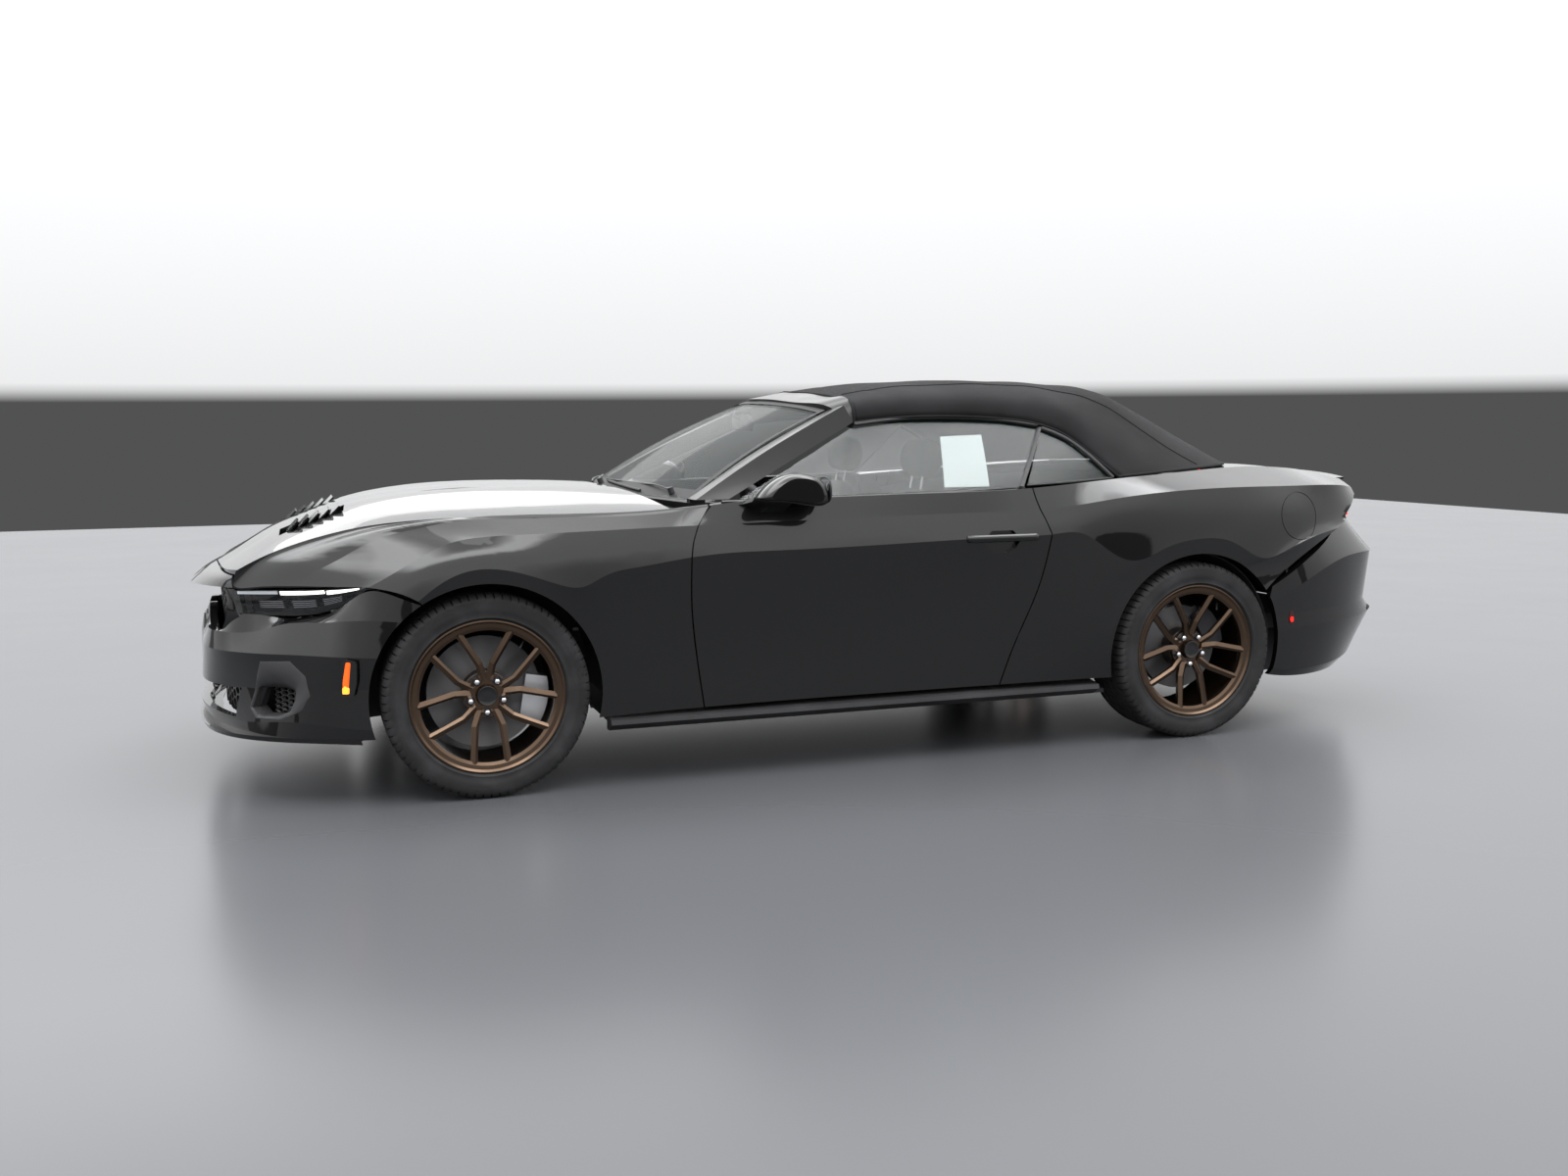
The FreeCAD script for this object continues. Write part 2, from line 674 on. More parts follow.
def splitter():
    edge = [(2404, 0, 243), (2396, 300, 243), (2364, 520, 242), (2272, 690, 240), (2112, 802, 235),
            (1990, 850, 231), (1888, 888, 227)]
    top = wrap_grid([edge], 13)[0]
    inner = [vec(p.x - 70, p.y * 0.92, p.z) for p in top]
    lower_edge = [p + vec(-8, 0, -16) for p in top]
    blade = panel([top, inner], [lower_edge, [p + vec(0, 0, -10) for p in inner]])
    wheel_room = cylinder_y(FRONT_LINER_RADIUS + LINER_WALL + SEAM, 400.0, 1100.0, FRONT_AXLE_X, WHEEL_Z)
    return blade.cut(face_shell()).cut(wheel_room).cut(mirror(wheel_room))


# Hood, deck and soft top
HOOD_MIDDLE = curve_of([(2330, 748), (2259, 790), (2160, 853), (2060, 896), (1909, 950), (1720, 986),
                        (1540, 1001), (1274, 1009), (1050, 1009), (890, 1001)])
HOOD_REAR_X = 935.0
HOOD_HINGE = (840.0, 952.0)
HOOD_REAR_SWEEP = 95.0
HOOD_FRACTIONS = [0.0, 0.22, 0.44, 0.62, 0.76, 0.88, 1.0]


HOOD_FRONT_EDGE = curve_of([(0, 2327), (200, 2313), (420, 2290), (540, 2264), (595, 2246)])


def hood_grid(count=23):
    grid = []
    for f in HOOD_FRACTIONS:
        rear_x = HOOD_REAR_X - HOOD_REAR_SWEEP * f * f
        tip_x = HOOD_FRONT_EDGE(f * 595.0)[0]
        row = []
        for i in range(count):
            t = i / (count - 1)
            side_x = mix(HOOD_REAR_X - HOOD_REAR_SWEEP, 2246, t)
            y_side, z_side = HOOD_SEAM(side_x)
            z_middle = HOOD_MIDDLE(mix(HOOD_REAR_X, 2324, t))[0]
            dome = 10.0 * math.exp(-((f - 0.5) / 0.16) ** 2) * math.sin(math.pi * min(1.0, 1.15 * t)) ** 2
            z = mix(z_side, z_middle, 1 - f ** 3.0) + dome
            row.append(vec(mix(rear_x, tip_x, t), f * (y_side - PANEL_GAP), z))
        grid.append(row)
    right = [[vec(p.x, -p.y, p.z) for p in row] for row in reversed(grid[1:])]
    return right + grid


HOOD_VENT = [(2108, 222), (2112, 384), (1896, 398), (1886, 236)]
VENT_FINS = 5
FIN_PITCH = 35.0


def hood_fin(x, side):
    # Leaning blade across a hood vent, a little proud of the skin
    z = HOOD_MIDDLE(x)[0] - 8
    section = [(x + 30, z - 22), (x + 34, z - 18), (x - 2, z + 19), (x - 8, z + 15)]
    y0 = side * 400 if side < 0 else 218
    return prism([vec(u, y0, w) for u, w in section], vec(0, 182, 0))


def hood():
    grid = hood_grid()
    skin = panel(grid, [[p + vec(0, 0, -16) for p in row] for row in grid])
    fins = []
    for side in (-1, 1):
        skin = skin.cut(prism([vec(x, side * y, 1100) for x, y in HOOD_VENT], vec(0, 0, -400)))
        fins += [hood_fin(1912 + FIN_PITCH * k, side) for k in range(VENT_FINS)]
    return fuse([skin] + fins)


HEADER_REAR = [(128, 0, 1358), (93, 250, 1348), (84, 450, 1333), (81, 614, 1309), (80, 650, 1236)]
TOP_ROWS = [
    [(x - SEAM, y, z) for x, y, z in HEADER_REAR],
    [(-157, 0, 1393), (-157, 200, 1389), (-162, 410, 1375), (-168, 596, 1334), (-170, 648, 1255)],
    [(-510, 0, 1408), (-505, 200, 1403), (-490, 410, 1389), (-470, 600, 1334), (-463, 652, 1250)],
    [(-830, 0, 1402), (-800, 200, 1398), (-760, 420, 1381), (-700, 608, 1320), (-680, 668, 1223)],
    [(-1100, 0, 1385), (-1060, 220, 1381), (-980, 440, 1354), (-860, 634, 1272), (-806, 694, 1168)],
    [(-1250, 0, 1342), (-1215, 250, 1336), (-1120, 485, 1300), (-962, 674, 1192), (-872, 734, 1108)],
    [(-1500, 0, 1200), (-1470, 260, 1196), (-1380, 505, 1172), (-1150, 706, 1098), (-926, 780, 1052)],
    [(-1765, 0, 1056), (-1735, 280, 1055), (-1620, 540, 1052), (-1330, 722, 1042), (-960, 798, 1020)],
]
REAR_WINDOW = [(-400, 1285), (400, 1285), (470, 1120), (-470, 1120)]


def top_grid(lift=0.0):
    grid = wrap_grid(TOP_ROWS, 11)
    if lift:
        grid = offset_grid(grid, lift, lambda p: vec(0, 0, -1))
    return grid


def rear_window_cutter(grow):
    outline = []
    for y, z in REAR_WINDOW:
        side = 1 if y > 0 else -1
        end = 1 if z > 1200 else -1
        outline.append(vec(-1000, y + grow * side, z + grow * end))
    return prism(outline, vec(-800, 0, 0))


def soft_top():
    shell = panel(top_grid(), top_grid(TOP_THICKNESS)).cut(rear_window_cutter(0.0))
    for side_panel in (quarter(), mirror(quarter())):
        shell = shell.cut(side_panel)
    return shell.cut(rear_deck())


def rear_window():
    pane = panel(top_grid(4.0), top_grid(8.0))
    return pane.common(rear_window_cutter(0.0))


def rear_deck():
    # Panel between the soft top and the boot lid
    front = wrap_grid([[(-1700, 0, 1048), (-1680, 280, 1047), (-1600, 500, 1044), (-1480, 662, 1040)]], 9)[0]
    back = wrap_grid([[(-1806, 0, 1046), (-1804, 300, 1044), (-1801, 560, 1040), (-1797, 662, 1034)]], 9)[0]
    grid = [front, back]
    plate = panel(grid, [[p + vec(0, 0, -12) for p in row] for row in grid])
    x, z = LID_HINGE
    parts = [plate]
    for y in (-470, 430):
        parts.append(cylinder_y(7, y, y + 40, x, z))
        parts.append(box(x - 6, x + 6, y, y + 40, z, z + 22))
    return fuse(parts).cut(quarter()).cut(mirror(quarter()))


LID_FRONT_X = -1812.0
LID_HINGE = (-1720.0, 1015.0)
LID_ROWS = [
    [(LID_FRONT_X, 0, 1046), (LID_FRONT_X, 300, 1044), (LID_FRONT_X, 644, 1036)],
    [(-1900, 0, 1040), (-1900, 300, 1037), (-1900, 640, 1026)],
    [(-2020, 0, 1018), (-2020, 300, 1014), (-2018, 634, 1001)],
    [(-2110, 0, 990), (-2108, 300, 987), (-2100, 628, 978)],
    [(-2172, 0, 982), (-2170, 300, 980), (-2156, 624, 973)],
]
BLADE_EDGES = [[(-2106, 0, 1010), (-2104, 300, 1006), (-2106, 540, 994), (-2108, 622, 986)],
               [(-2188, 0, 1015), (-2186, 300, 1011), (-2176, 540, 999), (-2170, 622, 990)]]
BLADE_THICKNESS = 8.0
BLADE_POST_Y = 400.0
LID_FACE_ROWS = [
    [(-2108, 0, 990), (-2106, 330, 986)],
    [(-2140, 0, 940), (-2136, 330, 937)],
    [(-2158, 0, 880), (-2150, 330, 878)],
    [(-2204, 0, 800), (-2196, 330, 800)],
]


def spoiler_blade():
    # Thin wing over the lid's rear edge, carried by its ends and two posts
    grid = wrap_grid(BLADE_EDGES, 11)
    blade = panel(grid, [[p + vec(0, 0, -BLADE_THICKNESS) for p in row] for row in grid])
    parts = [blade]
    for y in (-BLADE_POST_Y - 10, BLADE_POST_Y - 10):
        parts.append(box(-2160, -2115, y, y + 20, 975, 1001))
    for y in (-620, 606):
        parts.append(box(-2160, -2112, y, y + 14, 966, 986))
    return parts


def trunk_lid():
    grid = wrap_grid(LID_ROWS, 7)
    drops = (18, 18, 18, 16, 5)
    inner = [[p + vec(0, 0, -drop) for p in row] for row, drop in zip(grid, drops)]
    top = panel(grid, inner)
    face = []
    for (x, y, z), (x1, y1, z1) in LID_FACE_ROWS:
        face.append([vec(x1, -y1, z1), vec(x, 0, z), vec(x1, y1, z1)])
    back = panel(face, [[p + vec(18, 0, 0) for p in row] for row in face])
    return fuse([top, back] + spoiler_blade())


TAIL_ROWS = [
    [(-2216, 0, 792), (-2206, 350, 792), (-2180, 600, 796), (-2112, 718, 812), (-2010, 800, 829),
     (-1925, 856, 780), (-1735, 928, 669), (-1575, 945, 582)],
    [(-2325, 0, 715), (-2318, 300, 712), (-2285, 560, 702), (-2221, 738, 691), (-2100, 830, 690),
     (-1950, 893, 676), (-1735, 934, 590), (-1560, 947, 515)],
    [(-2335, 0, 500), (-2325, 300, 498), (-2290, 540, 492), (-2225, 700, 487), (-2100, 812, 485),
     (-1950, 880, 480), (-1735, 925, 470), (-1560, 940, 440)],
    [(-2405, 0, 455), (-2398, 300, 450), (-2370, 500, 442), (-2328, 620, 438), (-2240, 718, 430),
     (-2100, 815, 425), (-1950, 882, 420), (-1735, 925, 410), (-1560, 938, 400)],
    [(-2370, 0, 320), (-2350, 300, 310), (-2290, 520, 290), (-2200, 660, 270), (-2080, 770, 255),
     (-1940, 855, 245), (-1735, 910, 238), (-1560, 925, 260)],
    [(-2300, 0, 215), (-2280, 300, 213), (-2220, 520, 210), (-2140, 650, 208), (-2040, 745, 205),
     (-1900, 835, 205), (-1735, 890, 208), (-1560, 905, 230)],
]


def quarter_side():
    # Everything above and ahead of the seam between the quarter panel and the rear bumper
    heights = [200, 240, 330, 430, 510, 591, 640, 677, 735, 789, 835, 868, 900, 950, 1000]
    seam = [vec(QUARTER_TAIL_CUT(z) - 0.8 * PANEL_GAP, 640, z) for z in heights]
    return prism([vec(-1100, 640, 200)] + seam + [vec(-1100, 640, 1000)], vec(0, 400, 0))


def rear_fascia():
    grid = wrap_grid(TAIL_ROWS, 17)
    shell = panel(grid, inset_rows(grid, 24.0), v_breaks=(1, 2, 3, 4))
    for tool in (arch_cutter(REAR_AXLE_X), quarter_side(), quarter()):
        shell = shell.cut(tool).cut(mirror(tool))
    shell = shell.cut(box(-2500, -2000, -480, 480, 150, 400))
    for side in (-1, 1):
        screw = Part.makeCylinder(PLATE_SCREW_RADIUS, 120, vec(-2400, side * PLATE_SCREW_SPACING / 2, PLATE_SCREW_Z),
                                  vec(1, 0, 0))
        shell = shell.cut(screw)
    return shell


def rear_diffuser():
    floor = prism([vec(-2360, -478, 398), vec(-2330, -478, 398), vec(-2130, -478, 240), vec(-2290, -478, 215)],
                  vec(0, 956, 0))
    for y in TAILPIPE_Y:
        for side in (-1, 1):
            hole = Part.makeCylinder(TAILPIPE_RADIUS + 4, 500, vec(-2500, side * y, TAILPIPE_Z), vec(1, 0, 0))
            floor = floor.cut(hole)
    return floor


def exhaust():
    # Two pipes under the floor, a muffler ahead of the rear bumper and four tips
    parts = []
    for side in (-1, 1):
        parts.append(Part.makeCylinder(PIPE_RADIUS, 2740, vec(-1740, side * 200, 164), vec(1, 0, 0)))
        for y in TAILPIPE_Y:
            tip = Part.makeCylinder(TAILPIPE_RADIUS, 340, vec(-2372, side * y, TAILPIPE_Z), vec(1, 0, 0))
            tip = tip.cut(Part.makeCylinder(TAILPIPE_RADIUS - 3, 260, vec(-2380, side * y, TAILPIPE_Z), vec(1, 0, 0)))
            parts.append(tip)
        hanger = box(-1900, -1870, side * 300 - 10, side * 300 + 10, 325, 336)
        parts.append(hanger)
    shell = box(-2050, -1730, -470, 470, 150, 330)
    long_edges = [e for e in shell.Edges if abs(e.BoundBox.YLength - 940) < 1]
    parts.append(shell.makeFillet(60, long_edges))
    return fuse(parts)


def tail_lamp():
    # Dark housing with three upright bars
    top = [vec(-2138, 345, 952), vec(-2132, 520, 948), vec(-2116, 655, 942), vec(-2098, 700, 938)]
    low = [vec(-2198, 345, 806), vec(-2190, 520, 806), vec(-2160, 655, 812), vec(-2112, 700, 820)]
    top = spline_through(top, 7)
    low = spline_through(low, 7)
    middle = [mix(a, b, 0.5) for a, b in zip(top, low)]
    grid = [top, middle, low]
    housing = panel(grid, [[p + vec(40, -12, 0) for p in row] for row in grid])
    bars = []
    for k in range(3):
        y = 372 + 96 * k
        bars.append(prism([vec(-2144, y, 936), vec(-2144, y + 62, 936), vec(-2196, y + 70, 826),
                           vec(-2196, y + 4, 826)], vec(30, 0, 0)))
    corner = quarter().common(lamp_corner_cutter())
    return Part.makeCompound([fuse([housing] + bars), corner])


# Windscreen and its frame
SCREEN_BASE = [(905, 0, 985), (890, 250, 983), (840, 500, 978), (742, 752, 972)]
SCREEN_TOP = [(272, 0, 1322), (242, 200, 1317), (200, 420, 1302), (166, 578, 1280)]


def screen_grid():
    base = wrap_grid([SCREEN_BASE], 9)[0]
    top = wrap_grid([SCREEN_TOP], 9)[0]
    middle = [mix(a, b, 0.5) + vec(10, 0, 20) for a, b in zip(base, top)]
    return [base, middle, top]


def windscreen():
    grid = screen_grid()
    return panel(grid, offset_grid(grid, GLASS_THICKNESS, lambda p: vec(0, 0, -1)))


def pillar():
    low = [vec(742, 828, 973), vec(625, 834, 973), vec(618, 780, 973), vec(748, 742, 973)]
    high = [vec(118, 640, 1298), vec(84, 650, 1236), vec(84, 598, 1236), vec(150, 584, 1286)]
    lift = [vec(2, 6, 14), vec(0, 6, 2), vec(0, 0, 2), vec(2, 0, 14)]
    middle = [mix(a, b, 0.45) + up for a, b, up in zip(low, high, lift)]
    outer = [[row[0], row[1]] for row in (low, middle, high)]
    inner = [[row[3], row[2]] for row in (low, middle, high)]
    return panel(outer, inner)


def header():
    front = wrap_grid([[(278, 0, 1330), (246, 210, 1325), (204, 430, 1310), (150, 600, 1288), (118, 650, 1250)]],
                      11)[0]
    back = wrap_grid([HEADER_REAR], 11)[0]
    return panel([front, back], [[p + vec(0, -0.02 * p.y, -26) for p in row] for row in (front, back)])


def cowl():
    front = wrap_grid([[(912, 0, 978), (896, 250, 975), (846, 500, 969), (748, 775, 960)]], 9)[0]
    back = [p + vec(-100, 0, 0) for p in front]
    plate = panel([front, back], [[p + vec(0, 0, -22) for p in row] for row in (front, back)])
    post = box(DOOR_HINGE[0] - 12, 744, 716, 758, SILL_TOP, 976)
    for level in HINGE_LEVELS:
        barrel = Part.makeCylinder(HINGE_RADIUS, HINGE_HEIGHT, vec(*DOOR_HINGE, level), vec(0, 0, 1))
        arm = box(DOOR_HINGE[0] - 6, DOOR_HINGE[0] + 6, 740, DOOR_HINGE[1], level, level + HINGE_HEIGHT)
        post = post.fuse([barrel, arm])
    barrel = cylinder_y(9, 520, 570, HOOD_HINGE[0], HOOD_HINGE[1])
    return fuse([plate, post, mirror(post), barrel, mirror(barrel)])


def windscreen_frame():
    return fuse([header(), cowl(), pillar(), mirror(pillar())]).cut(windscreen())


def glass_y(x, z):
    # The side glass leans in toward the roof and, past the door, toward the tail
    rise = z - 965.0
    behind = min(0.0, x + 500.0)
    return 842.0 - 0.62 * rise - 0.0004 * rise * rise - 0.00012 * behind * behind


def side_glass(bottom, top):
    # A curved pane between two outlines in side view, each a list of (x, z)
    low = spline_through([vec(x, 0, z) for x, z in bottom], 9)
    high = spline_through([vec(x, 0, z) for x, z in top], 9)
    grid = []
    for k in range(4):
        row = [mix(a, b, k / 3) for a, b in zip(low, high)]
        grid.append([vec(p.x, glass_y(p.x, p.z), p.z) for p in row])
    return panel(grid, [[p + vec(0, -GLASS_THICKNESS, -2) for p in row] for row in grid])


def door_glass():
    return side_glass([(652, 940), (250, 940), (-200, 940), (-505, 940)],
                      [(84, 1222), (-174, 1246), (-463, 1240), (-676, 1214)])


def quarter_glass():
    return side_glass([(-552, 994), (-700, 1001), (-840, 1008), (-936, 1015)],
                      [(-688, 1206), (-744, 1184), (-800, 1152), (-862, 1096)])


MIRROR_OUTLINE = [(564, 988), (522, 1030), (458, 1062), (400, 1062), (348, 1045), (318, 1004), (316, 964),
                  (392, 954), (500, 968)]
MIRROR_CENTRE = (430.0, 1006.0)
MIRROR_STATIONS = [(884, 0.62), (905, 0.86), (960, 1.0), (1010, 0.95), (1032, 0.74)]


def mirror_housing():
    # Wedge-shaped shell on a short arm that stands on the door
    cx, cz = MIRROR_CENTRE
    wires = []
    for y, size in MIRROR_STATIONS:
        points = [vec(cx + (x - cx) * size, y, cz + (z - cz) * size) for x, z in MIRROR_OUTLINE]
        curve = Part.BSplineCurve()
        curve.interpolate(points, PeriodicFlag=True)
        wires.append(Part.Wire([curve.toShape()]))
    shell = Part.makeLoft(wires, True, False)
    foot = [vec(x, 862, z) for x, z in [(615, 950), (596, 962), (470, 946), (440, 962), (460, 905), (520, 900)]]
    head = [vec(x, 930, z) for x, z in [(570, 968), (560, 984), (470, 980), (420, 980), (420, 962), (500, 962)]]
    arm = Part.makeLoft([Part.makePolygon(row + [row[0]]) for row in (foot, head)], True, True)
    return fuse([shell, arm]).cut(door_shell())


# Underbody and cabin
def arch_liner(x, radius, y0, y1, toward):
    # Round inner arch over the wheel, its foot lower on the bumper's side
    liner = cylinder_y(radius + LINER_WALL, y0, y1, x, WHEEL_Z).cut(cylinder_y(radius, y0 - 1, y1 + 1, x, WHEEL_Z))
    liner = liner.cut(box(x - 600, x + 600, y0 - 1, y1 + 1, -200, LINER_FOOT_Z))
    return liner.cut(box(min(x, x - toward * 600), max(x, x - toward * 600), y0 - 1, y1 + 1, 0, 300))


def floor_pan():
    floor = box(-880, 1040, -850, 850, 190, 206)
    tunnel = box(-370, 900, -150, 150, 206, 420)
    tunnel = tunnel.cut(box(-370, 900, -138, 138, 180, 408))
    sill = box(-780, 1040, 690, 758, 190, SILL_TOP)
    dash_wall = box(876, 890, -700, 700, 206, 900)
    rear_wall = box(-894, -880, -700, 700, 206, 700)
    boot_floor = box(-2140, -880, -560, 560, 336, 350)
    rail = box(880, 2240, 350, 430, 380, 480)
    crossbar = box(2190, 2240, -430, 430, 380, 480)
    radiator = box(2150, 2190, -430, 430, 250, 680)
    tray = prism([vec(x, y, 240) for x, y in [(1891, -700), (2120, -600), (2250, -430), (2300, -200), (2300, 200),
                                              (2250, 430), (2120, 600), (1891, 700)]], vec(0, 0, 10))
    front_liner = arch_liner(FRONT_AXLE_X, FRONT_LINER_RADIUS, 440, 840, 1)
    liner_wall = box(1110, 1860, 426, 443, 470, 700)
    rear_liner = arch_liner(REAR_AXLE_X, REAR_LINER_RADIUS, 560, 870, -1)
    rear_side = box(-1612, -866, 556, 560, 336, 560)
    parts = [floor, tunnel, dash_wall, rear_wall, boot_floor, crossbar, radiator, tray]
    for part in (sill, rail, front_liner, liner_wall, rear_liner, rear_side):
        parts += [part, mirror(part)]
    return fuse(parts)


def engine_block():
    return box(1100, 1750, -250, 250, 300, 850)


def side_skirt():
    return prism([vec(-815, y, z) for y, z in [(850, 250), (922, 238), (925, 222), (880, 196), (850, 196)]],
                 vec(1890, 0, 0))


def seat_slab(sections, y_middle, corner=0.72):
    # Cushion lofted through rounded cross sections, each (x, z, width, depth, lean in degrees)
    wires = []
    for x, z, width, depth, lean in sections:
        points = []
        for k in range(12):
            a = 2 * math.pi * k / 12
            across = width / 2 * math.copysign(abs(math.cos(a)) ** corner, math.cos(a))
            away = depth / 2 * math.copysign(abs(math.sin(a)) ** corner, math.sin(a))
            points.append(vec(x + away * math.cos(lean * DEG), y_middle + across, z + away * math.sin(lean * DEG)))
        curve = Part.BSplineCurve()
        curve.interpolate(points, PeriodicFlag=True)
        wires.append(Part.Wire([curve.toShape()]))
    return Part.makeLoft(wires, True, False)


def front_seat():
    y = SEAT_Y
    cushion = seat_slab([(-150, 395, 440, 150, 90), (0, 390, 500, 160, 90), (250, 400, 500, 150, 90),
                         (390, 405, 440, 110, 90)], y)
    back = seat_slab([(-120, 420, 440, 150, 0), (-160, 600, 500, 160, 0), (-220, 800, 470, 120, 0),
                      (-268, 965, 340, 80, 0)], y)
    head = seat_slab([(-292, 1010, 200, 80, 0), (-300, 1060, 260, 105, 0), (-306, 1130, 250, 100, 0),
                      (-308, 1165, 190, 60, 0)], y)
    post = box(-300, -285, y - 60, y + 60, 940, 1030)
    base = box(-60, 340, y - 170, y + 170, 206.3, 350)
    return fuse([cushion, back, head, post, base])


def rear_seat():
    cushion = box(-750, -380, -560, 560, 330, 480)
    back = prism([vec(-720, -560, 440), vec(-620, -560, 480), vec(-780, -560, 940), vec(-870, -560, 930)],
                 vec(0, 1120, 0))
    base = box(-740, -400, -500, 500, 211, 340)
    return fuse([cushion, back, base.cut(box(-900, 900, -160, 160, 180, 430))])


def dashboard():
    section = [(866, 620), (866, 900), (800, 925), (640, 912), (560, 868), (520, 790), (540, 700), (600, 640)]
    body = prism([vec(x, -715, z) for x, z in section], vec(0, 1430, 0))
    binnacle = prism([vec(660, 230, 905), vec(560, 230, 860), vec(548, 230, 905), vec(575, 230, 950),
                      vec(700, 230, 945)], vec(0, 280, 0))
    screen = prism([vec(545, -190, 800), vec(530, -190, 800), vec(560, -190, 925), vec(575, -190, 925)],
                   vec(0, 380, 0))
    console = prism([vec(600, -115, 425), vec(600, -115, 660), vec(470, -115, 620), vec(100, -115, 560),
                     vec(-250, -115, 600), vec(-250, -115, 425)], vec(0, 230, 0))
    lever = Part.makeCone(16, 22, 90, vec(250, 0, 570), vec(0, 0, 1))
    along = vec(math.cos(STEERING_RAKE * DEG), 0, -math.sin(STEERING_RAKE * DEG))
    shroud = Part.makeCylinder(34, 90, vec(*STEERING_CENTRE) + along * 165.5, along)
    return fuse([body, binnacle, screen, console, lever, shroud])


def steering_wheel():
    # Flat-bottomed ring is kept round; three spokes, hub and column along the same axis
    centre = vec(*STEERING_CENTRE)
    ring = Part.makeTorus(180, 15)
    hub = Part.makeCone(62, 50, 34, vec(0, 0, -20))
    column = Part.makeCylinder(28, 150, vec(0, 0, -165))
    parts = [ring, hub, column]
    for turn in (0, 180, 270):
        arm = box(45, 176, -17, 17, -12, -2)
        arm.rotate(vec(0, 0, 0), vec(0, 0, 1), turn)
        parts.append(arm)
    wheel = fuse(parts)
    wheel.rotate(vec(0, 0, 0), vec(0, 0, 1), 90)
    wheel.rotate(vec(0, 0, 0), vec(0, 1, 0), -90 + STEERING_RAKE)
    wheel.translate(centre)
    return wheel


def screen_point(across, up, lift):
    # A point over the lower half of the windscreen, by its shares of the width and of the height
    base, middle, top = screen_grid()
    k = min(int(across * (len(base) - 1)), len(base) - 2)
    f = across * (len(base) - 1) - k
    low = mix(base[k], base[k + 1], f)
    high = mix(middle[k], middle[k + 1], f)
    return mix(low, high, up) + vec(0.42 * lift, 0, 0.9 * lift)


def wipers():
    # Blade of each side, lying just above the foot of the windscreen
    blades = []
    for start, end, up0, up1 in ((0.80, 0.52, 0.06, 0.14), (0.48, 0.20, 0.06, 0.14)):
        rows = []
        for shift, lift in ((0.0, 2.8), (0.0, 11.0), (0.03, 11.0), (0.03, 2.8)):
            rows.append([screen_point(mix(start, end, i / 8), mix(up0, up1, i / 8) + shift, lift) for i in range(9)])
        blades.append(panel([rows[1], rows[2]], [rows[0], rows[3]]))
    return Part.makeCompound(blades)


# Running gear
def suspension():
    front_beam = box(1420, 1540, -460, 460, 200, 300)
    riser = box(1440, 1520, 400, 460, 300, 380)
    front_arm = box(1450, 1510, 460, KINGPIN_Y - KINGPIN_RADIUS - 0.3, 250, 280)
    hub = cylinder_y(30, 730, REAR_WHEEL_FACE_Y - DISC_SETBACK - DISC_THICKNESS - 0.3, REAR_AXLE_X, WHEEL_Z)
    rear_beam = box(-1320, -1160, -420, 420, 230, 330)
    arm = box(-1300, -1180, 420, 700, 250, 290)
    upright = box(-1290, -1190, 690, 730, 240, 440)
    front = fuse([front_beam, riser, mirror(riser), front_arm, mirror(front_arm)])
    caliper = caliper_at(REAR_AXLE_X, REAR_WHEEL_FACE_Y, REAR_DISC_RADIUS, 30.0)
    side = fuse([arm, upright, hub, caliper])
    return Part.makeCompound([front, fuse([rear_beam, side, mirror(side)])])


def caliper_at(x, face_y, disc_radius, tilt):
    # A clamp over the rim of the disc, on the rear side, with the arm that holds it
    outer = face_y - DISC_SETBACK
    height = 78.0
    reach = disc_radius + 24.0
    block = box(x - reach, x - disc_radius + 62, outer - DISC_THICKNESS - 26, outer + 26, WHEEL_Z - height, WHEEL_Z + height)
    slot = cylinder_y(disc_radius + 4, outer - DISC_THICKNESS - 4, outer + 4, x, WHEEL_Z)
    arm = box(x - disc_radius + 30, x, outer - DISC_THICKNESS - 24, outer - DISC_THICKNESS - 6, WHEEL_Z - 30, WHEEL_Z + 30)
    bore = cylinder_y(reach, outer - DISC_THICKNESS - 40, outer + 40, x, WHEEL_Z)
    clamp = block.common(bore).cut(slot)
    clamp = clamp.fuse(arm)
    clamp.rotate(vec(x, 0, WHEEL_Z), vec(0, 1, 0), tilt)
    return clamp


def knuckle():
    x = FRONT_AXLE_X
    upright = Part.makeCylinder(KINGPIN_RADIUS, 230, vec(x, KINGPIN_Y, 240), vec(0, 0, 1))
    stub = cylinder_y(30, KINGPIN_Y, FRONT_WHEEL_FACE_Y - DISC_SETBACK - DISC_THICKNESS - 0.3, x, WHEEL_Z)
    caliper = caliper_at(x, FRONT_WHEEL_FACE_Y, FRONT_DISC_RADIUS, -10.0)
    return fuse([upright, stub, caliper])


def brake_disc(x, radius, face_y):
    outer = face_y - DISC_SETBACK
    disc = cylinder_y(radius, outer - DISC_THICKNESS, outer, x, WHEEL_Z)
    hat = cylinder_y(HUB_RADIUS, outer, face_y - HUB_SETBACK, x, WHEEL_Z)
    return disc.fuse(hat).removeSplitter()


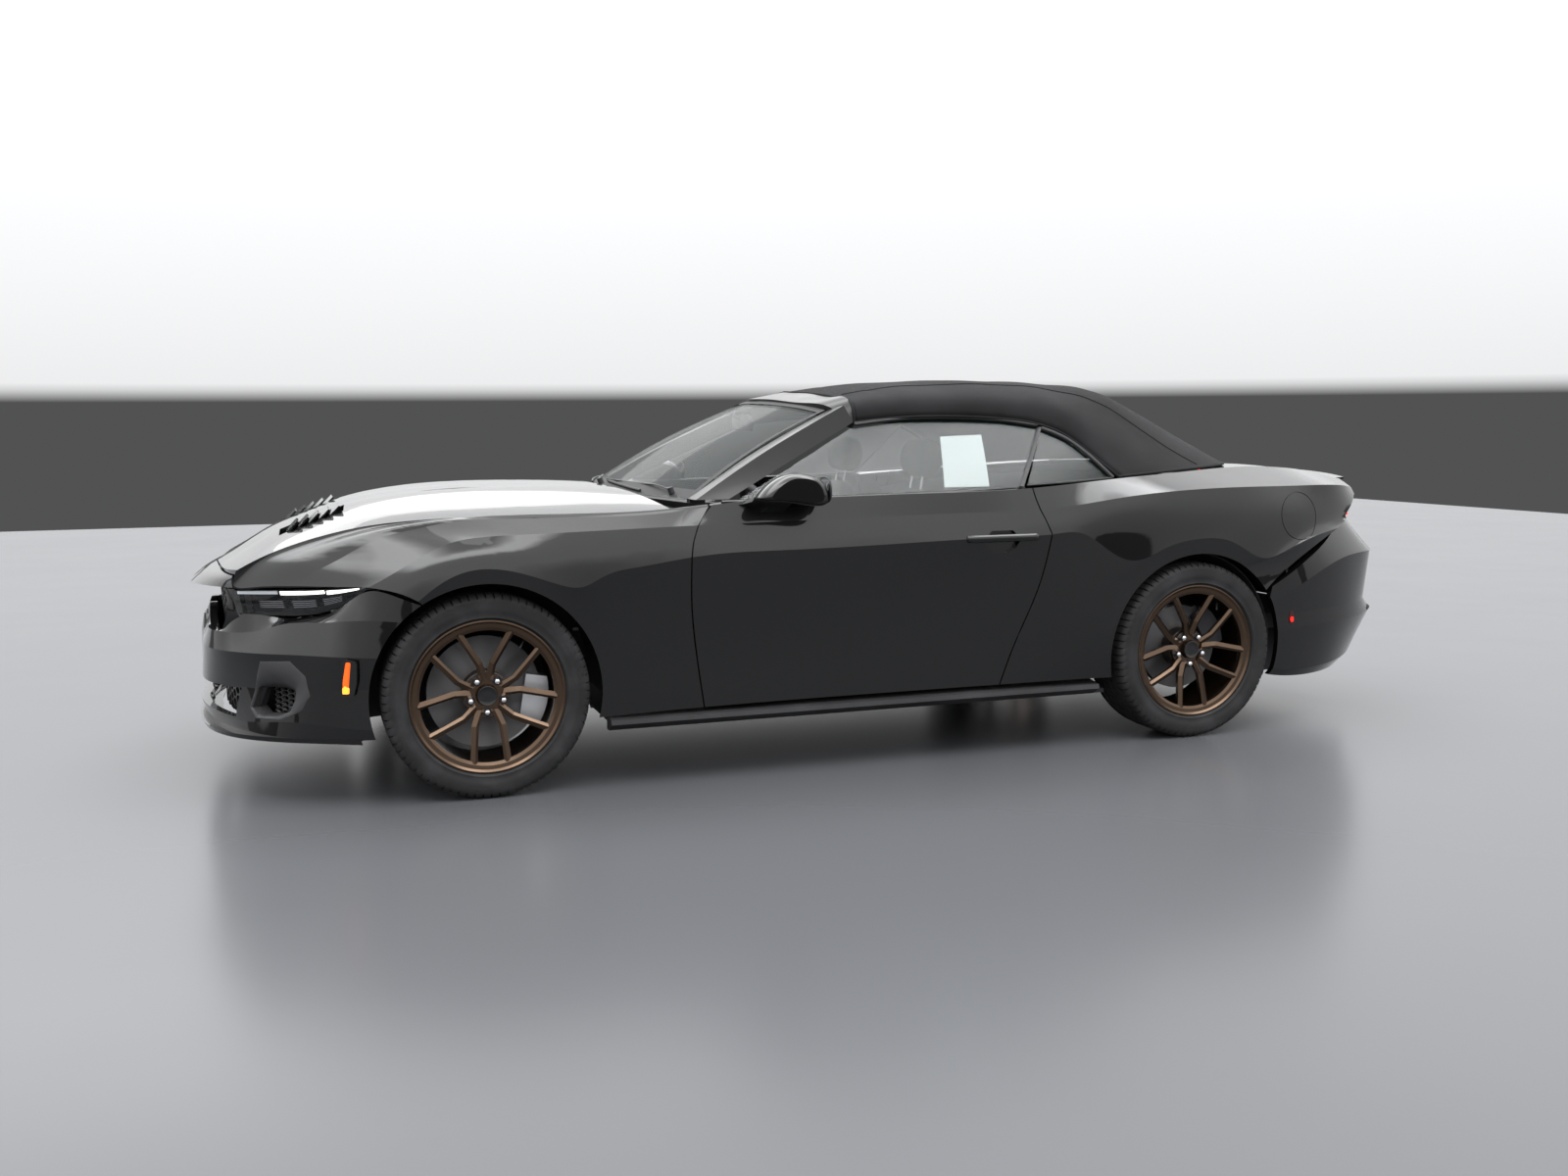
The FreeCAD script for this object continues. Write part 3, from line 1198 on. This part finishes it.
def tyre(x, face_y):
    # Straight bead and tread, round wall and shoulder
    middle = face_y - TYRE_WIDTH / 2
    half = TYRE_WIDTH / 2

    def at(r, f):
        return vec(x, middle + f * half, WHEEL_Z + r)

    def wall(side):
        return [(at(RIM_SEAT_RADIUS, side * BEAD), at(RIM_RADIUS, side * BEAD)),
                (at(RIM_RADIUS, side * BEAD), at(RIM_RADIUS + 8, side * 0.94)),
                (at(RIM_RADIUS + 8, side * 0.94), at(298, side * 1.0), at(330, side * 0.93)),
                (at(330, side * 0.93), at(339, side * 0.87), at(TYRE_RADIUS, side * TREAD_SHARE))]

    edges = []
    for side in (1, -1):
        for points in wall(side):
            curve = Part.Arc(*points) if len(points) == 3 else Part.LineSegment(*points)
            edges.append(curve.toShape())
    edges.append(Part.LineSegment(at(TYRE_RADIUS, TREAD_SHARE), at(TYRE_RADIUS, -TREAD_SHARE)).toShape())
    edges.append(Part.LineSegment(at(RIM_SEAT_RADIUS, BEAD), at(RIM_SEAT_RADIUS, -BEAD)).toShape())
    wire = Part.Wire(Part.__sortEdges__(edges))
    return Part.Face(wire).revolve(vec(x, 0, WHEEL_Z), vec(0, 1, 0), 360)


SPOKE_LINE = [(48, 24, -32, 30), (100, 45, -20, 25), (165, 51, -11, 23), (222, 56, -4, 25)]


def spoke(side):
    # One bent, ridged spoke of a pair: radius, offset, depth and width at each station
    wires = []
    for r, offset, depth, width in SPOKE_LINE:
        t = side * offset
        section = [(t - width / 2, depth - 7), (t - side * 3, depth), (t + width / 2, depth - 7),
                   (t + width / 2 - 3, depth - 28), (t - width / 2 + 3, depth - 28)]
        points = [vec(a, d, r) for a, d in section]
        wires.append(Part.makePolygon(points + [points[0]]))
    return Part.makeLoft(wires, True, True)


def rim(x, face_y):
    outer_y = face_y - TYRE_WIDTH / 2 + BEAD * TYRE_WIDTH / 2
    inner_y = face_y - TYRE_WIDTH / 2 - BEAD * TYRE_WIDTH / 2
    inside = RIM_SEAT_RADIUS - RIM_WALL
    profile = [(RIM_SEAT_RADIUS, inner_y), (RIM_RADIUS, inner_y), (RIM_RADIUS, inner_y - 8), (inside, inner_y - 8),
               (inside, outer_y - 34), (inside - 5, outer_y - 22), (inside - 5, outer_y - 6),
               (inside + 5, outer_y), (RIM_RADIUS - 12, outer_y + 2), (RIM_RADIUS - 5, outer_y + 8),
               (RIM_RADIUS, outer_y + 7), (RIM_RADIUS, outer_y), (RIM_SEAT_RADIUS, outer_y)]
    outline = [vec(x, y, WHEEL_Z + r) for r, y in profile]
    barrel = Part.Face(Part.makePolygon(outline + [outline[0]])).revolve(vec(x, 0, WHEEL_Z), vec(0, 1, 0), 360)
    hub = cylinder_y(HUB_RADIUS - 4, face_y - HUB_SETBACK, face_y - 56, x, WHEEL_Z)
    cap = Part.makeCone(38, 33, 20, vec(x, face_y - 58, WHEEL_Z), vec(0, 1, 0))
    parts = [barrel, hub, cap]
    for k in range(SPOKE_PAIRS):
        for side in (-1, 1):
            arm = spoke(side)
            arm.translate(vec(x, face_y - 14, WHEEL_Z))
            arm.rotate(vec(x, 0, WHEEL_Z), vec(0, 1, 0), k * 72 + 181)
            parts.append(arm)
    return fuse(parts)


def build():
    save("floor_pan", floor_pan())
    save("engine_block", engine_block())
    save("front_fascia", front_fascia())
    save("grille", grille())
    save("front_splitter", splitter())
    save("front_fenders", pair(fender()))
    save("front_lamps", Part.makeCompound([pair(headlamp()), pair(marker_lamp())]))
    save("windscreen_frame", windscreen_frame())
    save("glazing", Part.makeCompound([windscreen(), rear_window(), pair(quarter_glass())]))
    save("soft_top", soft_top())
    save("rear_quarters", rear_quarters())
    save("rear_deck", rear_deck())
    save("side_skirts", pair(side_skirt()))
    save("rear_fascia", rear_fascia())
    save("rear_diffuser", rear_diffuser())
    save("exhaust", exhaust())
    save("tail_lamps", pair(tail_lamp()))
    save("front_seats", pair(front_seat()))
    save("rear_seat", rear_seat())
    save("dashboard", dashboard())
    save("steering_wheel", steering_wheel())
    save("wipers", wipers())
    save("suspension", suspension())
    save("hood", hood())
    save("trunk_lid", trunk_lid())
    for name, shape in (("left", lambda s: s), ("right", mirror)):
        save("door_" + name, shape(door()))
        save("door_glass_" + name, shape(door_glass()))
        save("mirror_" + name, shape(mirror_housing()))
        save("knuckle_" + name, shape(knuckle()))
        for end, x, face_y, disc in (("front", FRONT_AXLE_X, FRONT_WHEEL_FACE_Y, FRONT_DISC_RADIUS),
                                     ("rear", REAR_AXLE_X, REAR_WHEEL_FACE_Y, REAR_DISC_RADIUS)):
            save("rim_" + end + "_" + name, shape(rim(x, face_y)))
            save("tyre_" + end + "_" + name, shape(tyre(x, face_y)))
            save("disc_" + end + "_" + name, shape(brake_disc(x, disc, face_y)))


os.makedirs("parts", exist_ok=True)
build()
